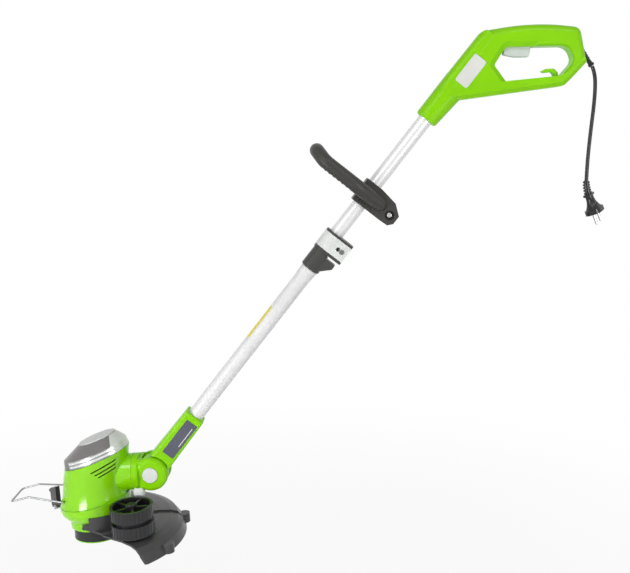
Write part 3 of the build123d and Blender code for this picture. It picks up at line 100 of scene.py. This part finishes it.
def srgb(red, green, blue):
    """Linear colour with alpha from 8-bit values."""
    linear = []
    for value in (red, green, blue):
        share = value / 255
        linear.append(share / 12.92 if share <= 0.04045 else ((share + 0.055) / 1.055) ** 2.4)
    return (*linear, 1.0)


def tinted(colour, factor, lift=0.0):
    """The colour made darker or lighter, with its alpha kept."""
    return tuple(min(1.0, value * factor + lift) for value in colour[:3]) + (1.0,)


def cap_band(low, high):
    """Slice of the head between two heights above the cap's seam."""
    base = SEAM_POINT.dot(CAP_UP)
    return (CAP_UP, base + low, base + high)


def cap_length(low, high):
    """Slice of the head between two places along the cap's seam."""
    base = SEAM_POINT.dot(CAP_REAR)
    return (CAP_REAR, base + low, base + high)


def calculate(tree, operation, first, second=None):
    """Result of a math node on a socket and, where it takes two, a socket or a number."""
    node = tree.nodes.new("ShaderNodeMath")
    node.operation = operation
    tree.links.new(first, node.inputs[0])
    if isinstance(second, float):
        node.inputs[1].default_value = second
    elif second is not None:
        tree.links.new(second, node.inputs[1])
    return node.outputs["Value"]


def remap(tree, value, source, result, smooth=False):
    """The value carried from its source range, a pair of numbers, to the result range."""
    node = tree.nodes.new("ShaderNodeMapRange")
    if smooth:
        node.interpolation_type = "SMOOTHSTEP"
    node.inputs["From Min"].default_value, node.inputs["From Max"].default_value = source
    node.inputs["To Min"].default_value, node.inputs["To Max"].default_value = result
    tree.links.new(value, node.inputs["Value"])
    return node.outputs["Result"]


def laid_over(tree, factor, under, over):
    """A fixed colour laid over another by a factor."""
    node = tree.nodes.new("ShaderNodeMix")
    node.data_type = "RGBA"
    node.inputs["B"].default_value = over
    tree.links.new(factor, node.inputs["Factor"])
    tree.links.new(under, node.inputs["A"])
    return node.outputs["Result"]


def slice_mask(tree, where, slices, blur):
    """Socket that is 1 inside every slice, each a direction and two limits along it."""
    mask = None
    for direction, low, high in slices:
        along = tree.nodes.new("ShaderNodeVectorMath")
        along.operation = "DOT_PRODUCT"
        along.inputs[1].default_value = direction
        tree.links.new(where, along.inputs[0])
        apart = calculate(tree, "SUBTRACT", along.outputs["Value"], (low + high) / 2)
        distance = calculate(tree, "ABSOLUTE", apart)
        half = (high - low) / 2
        inside = remap(tree, distance, (half + blur, half - blur), (0, 1))
        mask = inside if mask is None else calculate(tree, "MULTIPLY", mask, inside)
    return mask


def surface(
    name,
    colour,
    rough=0.4,
    shade=0.92,
    light=1.05,
    grain=1400.0,
    bump=0.1,
    depth=0.0002,
    metal=0.0,
    gloss=0.4,
    streak=None,
    pebble=False,
    wear=0.12,
    spread=0.06,
    layers=(),
):
    """Moulded plastic, rubber or metal.

    The tone is patchy between shade and light, and the grain shows in bump and roughness. A
    streak is a turn about Y and a scale that draw both out. Edges are worn, and each layer is
    an inlaid colour with its slices and the blur of their borders.
    """
    material = bpy.data.materials.new(name)
    material.use_nodes = True
    tree = material.node_tree
    shader = tree.nodes["Principled BSDF"]
    shader.inputs["Metallic"].default_value = metal
    shader.inputs["Specular IOR Level"].default_value = gloss
    place = tree.nodes.new("ShaderNodeTexCoord")
    where = place.outputs["Object"]
    if streak is not None:
        lean, squeeze = streak
        turn = tree.nodes.new("ShaderNodeMapping")
        turn.inputs["Rotation"].default_value = (0, lean, 0)
        pull = tree.nodes.new("ShaderNodeMapping")
        pull.inputs["Scale"].default_value = squeeze
        tree.links.new(where, turn.inputs["Vector"])
        tree.links.new(turn.outputs["Vector"], pull.inputs["Vector"])
        where = pull.outputs["Vector"]

    tone = tree.nodes.new("ShaderNodeTexNoise")
    tone.inputs["Scale"].default_value = PATCH_SCALE
    tone.inputs["Detail"].default_value = PATCH_DETAIL
    tree.links.new(where, tone.inputs["Vector"])
    ramp = tree.nodes.new("ShaderNodeValToRGB")
    dark, pale = ramp.color_ramp.elements
    dark.position, pale.position = PATCH_FROM, PATCH_TO
    dark.color, pale.color = tinted(colour, shade), tinted(colour, light)
    tree.links.new(tone.outputs["Fac"], ramp.inputs["Fac"])

    if pebble:
        fine = tree.nodes.new("ShaderNodeTexVoronoi")
        height = fine.outputs["Distance"]
    else:
        fine = tree.nodes.new("ShaderNodeTexNoise")
        fine.inputs["Detail"].default_value = GRAIN_DETAIL
        height = fine.outputs["Fac"]
    fine.inputs["Scale"].default_value = grain
    tree.links.new(where, fine.inputs["Vector"])
    rough_range = (max(SMOOTHEST, rough - spread), min(1.0, rough + spread))
    tree.links.new(remap(tree, height, (0, 1), rough_range), shader.inputs["Roughness"])
    relief = tree.nodes.new("ShaderNodeBump")
    relief.inputs["Strength"].default_value = bump
    relief.inputs["Distance"].default_value = depth
    tree.links.new(height, relief.inputs["Height"])
    tree.links.new(relief.outputs["Normal"], shader.inputs["Normal"])

    soft = tree.nodes.new("ShaderNodeBevel")
    soft.samples = EDGE_SAMPLES
    soft.inputs["Radius"].default_value = EDGE_RADIUS
    geometry = tree.nodes.new("ShaderNodeNewGeometry")
    facing = tree.nodes.new("ShaderNodeVectorMath")
    facing.operation = "DOT_PRODUCT"
    tree.links.new(soft.outputs["Normal"], facing.inputs[0])
    tree.links.new(geometry.outputs["Normal"], facing.inputs[1])
    rub = remap(tree, facing.outputs["Value"], (WEAR_FROM, WEAR_TO), (0, wear))
    worn = tinted(colour, WORN_FACTOR, WORN_LIFT)
    paint = laid_over(tree, rub, ramp.outputs["Color"], worn)
    for layer_colour, slices, blur in layers:
        mask = slice_mask(tree, place.outputs["Object"], slices, blur)
        paint = laid_over(tree, mask, paint, layer_colour)
    tree.links.new(paint, shader.inputs["Base Color"])
    return material


GREEN = srgb(136, 212, 3)
GREEN_LOOK = dict(shade=0.95, light=1.03, bump=0.02, spread=0.03, wear=0.08)
DARK_PLASTIC = dict(gloss=0.3, wear=0.06)
DRAWN = (SHAFT_ANGLE - math.pi / 2, (1.0, 1.0, 0.02))
STACKED = (HEAD_LEAN, (0.02, 0.02, 1.0))

# Marks on the shaft, each a colour, slices along and across the shaft, and a blur
CRISP = 0.0002
YELLOW_STRIP = (
    srgb(228, 213, 88),
    [(SHAFT_DIR, -0.414, -0.346), (SHAFT_UNDER, -0.016, -0.0102)],
    CRISP,
)
PANEL_LINE = (
    srgb(214, 216, 220),
    [(SHAFT_UNDER, 0.0087, 0.0103), (SHAFT_DIR, -0.647, -0.606)],
    CRISP,
)

# Tones of the cap: a band above the seam, a darker facet above and before it, and a painted shadow
# line along the seam
FACET_GREY = srgb(118, 116, 115)
BAND_GREY = srgb(150, 153, 149)
SEAM_SHADOW_GREY = srgb(70, 70, 70)
SILVER = srgb(206, 211, 203)
BAND_TOP = 0.0142
CAP_TOP = 0.05
CAP_FRONT, BAND_FRONT, CAP_BACK = -0.08, -0.031, 0.052
CAP_BLUR = 0.0003
CAP_TONES = [
    (BAND_GREY, [cap_band(0.0, BAND_TOP), cap_length(BAND_FRONT, CAP_BACK)], CAP_BLUR),
    (FACET_GREY, [cap_band(BAND_TOP, CAP_TOP), cap_length(CAP_FRONT, CAP_BACK)], CAP_BLUR),
    (FACET_GREY, [cap_band(-0.01, CAP_TOP), cap_length(CAP_FRONT, BAND_FRONT)], CAP_BLUR),
    # painted shadow: a thin dark grey line along the cap's seam, where the ledge would cast shade
    (SEAM_SHADOW_GREY, [cap_band(-0.002, 0.0008)], CRISP),
]

LOOK = {
    "green": surface("green_plastic", GREEN, rough=0.14, gloss=0.45, **GREEN_LOOK),
    "plate_grey": surface("plate_film", srgb(222, 223, 217), rough=0.35, wear=0.05),
    "screw_steel": surface("screw_zinc", srgb(120, 120, 118), rough=0.35, metal=1.0, wear=0.3),
    "cord_black": surface("cord_rubber", srgb(24, 24, 26), rough=0.24, bump=0.06, wear=0.06),
    "bright_metal": surface("bright_plating", srgb(190, 190, 191), rough=0.18, metal=1.0),
    "trigger_grey": surface("trigger_plastic", srgb(204, 210, 206), rough=0.42, bump=0.15),
    "switch_black": surface("switch_plastic", srgb(36, 36, 38), rough=0.45),
    "spring_steel": surface("spring_wire", srgb(170, 170, 170), rough=0.25, metal=1.0),
    "upper_aluminium": surface(
        "drawn_aluminium",
        srgb(224, 224, 225),
        rough=0.34,
        metal=0.6,
        streak=DRAWN,
        grain=900,
        bump=0.004,
        shade=0.96,
        light=1.02,
        spread=0.015,
    ),
    "lower_white": surface(
        "painted_tube",
        srgb(228, 228, 228),
        rough=0.3,
        bump=0.004,
        spread=0.015,
        layers=[YELLOW_STRIP],
    ),
    "bush_black": surface("bush_plastic", srgb(46, 46, 47), rough=0.5),
    "lead_grey": surface("lead_sheath", srgb(72, 72, 74), rough=0.5),
    "loop_grey": surface(
        "grip_rubber",
        srgb(58, 57, 55),
        bump=0.3,
        grain=700,
        depth=0.0003,
        pebble=True,
        **DARK_PLASTIC,
    ),
    "knob_black": surface("knob_plastic", srgb(42, 42, 42), bump=0.2, **DARK_PLASTIC),
    "clamp_grey": surface("clamp_plastic", srgb(66, 66, 65), rough=0.34, bump=0.2, **DARK_PLASTIC),
    "pale_plastic": surface("pale_plastic", srgb(222, 225, 222), rough=0.3),
    "panel_dark": surface("panel_film", srgb(86, 88, 102), rough=0.34, layers=[PANEL_LINE]),
    "ring_white": surface("ring_plastic", srgb(220, 220, 216)),
    "cap_grey": surface(
        "cap_plastic", SILVER, rough=0.28, bump=0.06, metal=0.25, layers=CAP_TONES
    ),
    "cap_light": surface("cap_panel_plastic", srgb(206, 208, 205), rough=0.34),
    "silver_trim": surface("silver_trim", srgb(226, 227, 228), rough=0.2, metal=0.7),
    "stator_steel": surface(
        "stator_plates", srgb(110, 110, 112), metal=1.0, streak=STACKED, grain=1200, bump=0.5
    ),
    "rotor_copper": surface(
        "rotor_winding", srgb(170, 110, 70), metal=0.8, streak=STACKED, grain=1000, bump=0.6
    ),
    "shaft_steel": surface("ground_steel", srgb(190, 190, 190), rough=0.25, metal=1.0),
    "fan_black": surface("fan_plastic", srgb(50, 50, 50), rough=0.5),
    "carrier_grey": surface("carrier_plastic", srgb(95, 95, 95), rough=0.5),
    "guard_black": surface(
        "guard_plastic",
        srgb(70, 69, 70),
        rough=0.3,
        bump=0.15,
        light=1.1,
        grain=1800,
        **DARK_PLASTIC,
    ),
    "blade_steel": surface("blade_steel", srgb(190, 192, 194), rough=0.25, metal=1.0),
    "wheel_black": surface("wheel_plastic", srgb(38, 38, 40), rough=0.26, gloss=0.35, wear=0.1),
    "axle_black": surface("axle_plastic", srgb(28, 28, 29), gloss=0.3),
    "spool_black": surface("spool_plastic", srgb(40, 40, 41), rough=0.34, bump=0.15, gloss=0.3),
    "reel_grey": surface("reel_plastic", srgb(120, 120, 118), rough=0.5),
    "line_green": surface("nylon_line", srgb(120, 190, 40), rough=0.3),
    "wire_steel": surface("wire_plating", srgb(150, 151, 152), rough=0.36, metal=1.0, bump=0.02),
}
for part in frame["record"]["subparts"]:
    mesh = nodes[part["node"]].data
    mesh.materials.clear()
    mesh.materials.append(LOOK[part["material_slot"]])

# Halves that meet in the mid plane show a fine parting line there
HALVES = (
    "handle_near_shell",
    "handle_far_shell",
    "socket_near_half",
    "socket_far_half",
    "yoke_near_half",
    "yoke_far_half",
)
PARTING = (tinted(GREEN, 0.3), [(SIDE, -0.0003, 0.0003)], 0.0001)
green_halves = surface(
    "green_plastic_halves", GREEN, rough=0.3, gloss=0.18, layers=[PARTING], **GREEN_LOOK
)
for half in HALVES:
    nodes[half].data.materials[0] = green_halves

# Mains cord on the route of its CAD solid, in the mid plane
CORD_RADIUS = 0.0032
CORD_ROUTE = [
    (0.3210, 0.1430),
    (0.3260, 0.1320),
    (0.3282, 0.1100),
    (0.3274, 0.0780),
    (0.3242, 0.0380),
    (0.3218, 0.0000),
    (0.3209, -0.0280),
    (0.3209, -0.0480),
]
cord_curve = bpy.data.curves.new("mains_cord", "CURVE")
cord_curve.dimensions = "3D"
cord_line = cord_curve.splines.new("NURBS")
cord_line.points.add(len(CORD_ROUTE) - 1)
for point, (x, z) in zip(cord_line.points, CORD_ROUTE):
    point.co = (x, 0, z, 1)
cord_line.order_u = 3
cord_line.use_endpoint_u = True
cord_line.resolution_u = 12
cord_curve.bevel_depth = CORD_RADIUS
cord_curve.bevel_resolution = 6
cord_curve.use_fill_caps = True
cord_curve.materials.append(LOOK["cord_black"])
mains_cord = bpy.data.objects.new("mains_cord", cord_curve)
scene.collection.objects.link(mains_cord)
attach(mains_cord, "handle")
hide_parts("power_cord")


def tube(rings, closed):
    """Points and faces of a tube through rings; it joins up with its start or gets end caps."""
    sides = len(rings[0])
    count = len(rings)
    points = [point for ring in rings for point in ring]
    faces = []
    for i in range(count if closed else count - 1):
        here = i * sides
        there = (i + 1) % count * sides
        for j in range(sides):
            k = (j + 1) % sides
            faces.append((here + j, here + k, there + k, there + j))
    if not closed:
        faces.append(tuple(reversed(range(sides))))
        faces.append(tuple(range((count - 1) * sides, count * sides)))
    return points, faces


def wire_piece(name, points, faces, slot):
    """Smooth mesh object in the look of its slot."""
    mesh = bpy.data.meshes.new(name)
    mesh.from_pydata(points, [], faces)
    for face in mesh.polygons:
        face.use_smooth = True
    mesh.materials.append(LOOK[slot])
    piece = bpy.data.objects.new(name, mesh)
    scene.collection.objects.link(piece)
    return piece


def wire_ring(centre, outward, axis, wire, sides):
    """Ring of points round a wire that runs across the outward direction and the axis."""
    ring = []
    for j in range(sides):
        angle = 2 * math.pi * j / sides
        ring.append(centre + outward * (wire * math.cos(angle)) + axis * (wire * math.sin(angle)))
    return ring


SPRING_STEPS = 24       # rings per turn
SPRING_SIDES = 8
FLAT_TURN = 0.75        # turns without pitch at each end


def coil_spring(name, foot, axis, across, length, radius, wire, turns):
    """Helical spring with a flat turn at each end, standing on a foot along an axis."""
    other = axis.cross(across)
    steps = int(SPRING_STEPS * turns)
    rings = []
    for i in range(steps + 1):
        turn = turns * i / steps
        climb = min(max((turn - FLAT_TURN) / (turns - 2 * FLAT_TURN), 0), 1)
        angle = 2 * math.pi * turn
        outward = across * math.cos(angle) + other * math.sin(angle)
        level = wire + (length - 2 * wire) * climb
        centre = foot + outward * radius + axis * level
        rings.append(wire_ring(centre, outward, axis, wire, SPRING_SIDES))
    return wire_piece(name, *tube(rings, False), "spring_steel")


# Springs as wound wire, in the room of their CAD sleeves
trigger_coil = coil_spring(
    "trigger_coil",
    foot=Vector((0.207, 0, 0.1829)),
    axis=Vector((0, 0, 1)),
    across=Vector((1, 0, 0)),
    length=0.0074,
    radius=0.0029,
    wire=0.00045,
    turns=5.5,
)
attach(trigger_coil, "handle")
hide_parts("trigger_spring")
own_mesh(trigger_coil)

button_coil = coil_spring(
    "button_coil",
    foot=PIVOT + SIDE * -0.0264,
    axis=SIDE,
    across=HEAD_X,
    length=0.0098,
    radius=0.0080,
    wire=0.00055,
    turns=6.5,
)
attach(button_coil, "yoke")
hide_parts("button_spring")
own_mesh(button_coil)

bump_coil = coil_spring(
    "bump_coil",
    foot=HEAD_ORIGIN + HEAD_Z * 0.0057,
    axis=HEAD_Z,
    across=HEAD_X,
    length=0.0061,
    radius=0.0070,
    wire=0.00045,
    turns=5.5,
)
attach(bump_coil, "spool")
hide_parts("bump_spring")
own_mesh(bump_coil)

# Cutting line wound on the reel, row by row; its pitches are in radii of the line
LINE_WIRE = 0.00082
LINE_ROWS = 4
LINE_LAYERS = 10
LINE_STEPS = 40
LINE_SIDES = 6
LAYER_PITCH = 2.04
ROW_PITCH = 2.06
ROW_START = 1.05
REEL_R = 0.0161
REEL_LOW = 0.0076
wound_points = []
wound_faces = []
for layer in range(LINE_LAYERS):
    for row in range(LINE_ROWS):
        radius = REEL_R + LINE_WIRE * (1 + LAYER_PITCH * layer)
        level = REEL_LOW + LINE_WIRE * (ROW_START + ROW_PITCH * row)
        rings = []
        for i in range(LINE_STEPS):
            angle = 2 * math.pi * i / LINE_STEPS
            outward = HEAD_X * math.cos(angle) + SIDE * math.sin(angle)
            centre = HEAD_ORIGIN + outward * radius + HEAD_Z * level
            rings.append(wire_ring(centre, outward, HEAD_Z, LINE_WIRE, LINE_SIDES))
        turn_points, turn_faces = tube(rings, True)
        start = len(wound_points)
        wound_points += turn_points
        wound_faces += [tuple(start + index for index in face) for face in turn_faces]
wound_line = wire_piece("wound_line", wound_points, wound_faces, "line_green")
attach(wound_line, "spool")
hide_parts("line_winding")

# Floor: pale, with the object's shadow, below the reach of the drawn-out shaft
FLOOR_ROOM = 0.15
FLOOR_NEAR, FLOOR_FAR = -6, 9
FLOOR_LEFT, FLOOR_RIGHT = -6, 6
floor_z = cad_box[0].z - FLOOR_ROOM
floor_corners = [
    (FLOOR_LEFT, FLOOR_NEAR, floor_z),
    (FLOOR_RIGHT, FLOOR_NEAR, floor_z),
    (FLOOR_RIGHT, FLOOR_FAR, floor_z),
    (FLOOR_LEFT, FLOOR_FAR, floor_z),
]
floor_mesh = bpy.data.meshes.new("floor")
floor_mesh.from_pydata(floor_corners, [], [(0, 1, 2, 3)])
floor = bpy.data.objects.new("floor", floor_mesh)
scene.collection.objects.link(floor)


def seen_directly(tree):
    """Socket that is 1 for what the camera sees, straight, mirrored or through glass."""
    ray = tree.nodes.new("ShaderNodeLightPath").outputs
    mirrored = calculate(tree, "MAXIMUM", ray["Is Camera Ray"], ray["Is Glossy Ray"])
    return calculate(tree, "MAXIMUM", mirrored, ray["Is Transmission Ray"])


WHITE = (1, 1, 1, 1)
FLOOR_GREY = (0.92, 0.92, 0.92, 1)
FLOOR_WHITE = 0.88      # share of plain white in the floor by the object, as the camera sees it
FADE_FROM = 0.5         # the floor goes over to plain white between these distances
FADE_TO = 1.5
floor_look = bpy.data.materials.new("pale_floor")
floor_look.use_nodes = True
tree = floor_look.node_tree
shader = tree.nodes["Principled BSDF"]
shader.inputs["Base Color"].default_value = FLOOR_GREY
shader.inputs["Roughness"].default_value = 0.9
shader.inputs["Specular IOR Level"].default_value = 0.0
white = tree.nodes.new("ShaderNodeEmission")
white.inputs["Color"].default_value = WHITE
white.inputs["Strength"].default_value = 1.0
place = tree.nodes.new("ShaderNodeTexCoord")
reach = tree.nodes.new("ShaderNodeVectorMath")
reach.operation = "DISTANCE"
reach.inputs[1].default_value = (HEAD_ORIGIN.x / 2, 0, floor_z)
tree.links.new(place.outputs["Object"], reach.inputs[0])
fade = remap(tree, reach.outputs["Value"], (FADE_FROM, FADE_TO), (FLOOR_WHITE, 1), smooth=True)
blend = tree.nodes.new("ShaderNodeMixShader")
tree.links.new(calculate(tree, "MULTIPLY", seen_directly(tree), fade), blend.inputs["Fac"])
tree.links.new(shader.outputs["BSDF"], blend.inputs[1])
tree.links.new(white.outputs["Emission"], blend.inputs[2])
tree.links.new(blend.outputs["Shader"], tree.nodes["Material Output"].inputs["Surface"])
floor_mesh.materials.append(floor_look)

# Light: even surround, and soft boxes from the upper left, the left, low down, the right, the
# front and, without highlights, from behind
SURROUND = 0.24
world = bpy.data.worlds.new("studio")
scene.world = world
world.use_nodes = True
tree = world.node_tree
background = tree.nodes["Background"]
background.inputs["Color"].default_value = WHITE
background.inputs["Strength"].default_value = SURROUND
shown = tree.nodes.new("ShaderNodeBackground")
shown.inputs["Color"].default_value = WHITE
shown.inputs["Strength"].default_value = 1.0
choose = tree.nodes.new("ShaderNodeMixShader")
tree.links.new(seen_directly(tree), choose.inputs["Fac"])
tree.links.new(background.outputs["Background"], choose.inputs[1])
tree.links.new(shown.outputs["Background"], choose.inputs[2])
tree.links.new(choose.outputs["Shader"], tree.nodes["World Output"].inputs["Surface"])


def softbox(name, spot, target, size, power, mirrored=True):
    """Rectangular area lamp at a spot, aimed at a target, with or without highlights."""
    lamp = bpy.data.lights.new(name, "AREA")
    lamp.shape = "RECTANGLE"
    lamp.size, lamp.size_y = size
    lamp.energy = power
    holder = bpy.data.objects.new(name, lamp)
    holder.visible_glossy = mirrored
    scene.collection.objects.link(holder)
    holder.location = spot
    holder.rotation_euler = (Vector(target) - Vector(spot)).to_track_quat("-Z", "Y").to_euler()


AT_HEAD = (-0.5, 0, -0.55)
AT_MIDDLE = (-0.2, 0, -0.2)
softbox("key_light", (-1.2, -1.8, 1.5), AT_MIDDLE, (0.8, 0.8), 12)
softbox("left_light", (-1.95, -1.25, 0.15), AT_HEAD, (0.5, 0.6), 8)
softbox("low_light", (-1.4, -1.4, -0.55), AT_HEAD, (0.7, 0.26), 11)
softbox("right_light", (1.35, -1.75, -0.15), (0, 0, -0.1), (0.4, 0.6), 13)
softbox("front_light", (0.75, -1.5, 1.5), (0, 0, 0), (0.5, 0.5), 7)
softbox("back_light", (-0.3, 2.3, 0.5), AT_MIDDLE, (0.9, 0.9), 16, mirrored=False)

# Camera: level with the origin, before the middle of the shaft, looking a little down
CAMERA_SPOT = (-0.1448, -1.4692, 0.0007)
CAMERA_PITCH = math.radians(81)
camera_data = bpy.data.cameras.new("camera")
camera_data.lens = 48.571
camera_data.sensor_width = 36.0
camera_data.clip_start = 0.05
camera_data.clip_end = 60
camera = bpy.data.objects.new("camera", camera_data)
scene.collection.objects.link(camera)
camera.location = CAMERA_SPOT
camera.rotation_euler = (CAMERA_PITCH, 0, 0)
scene.camera = camera
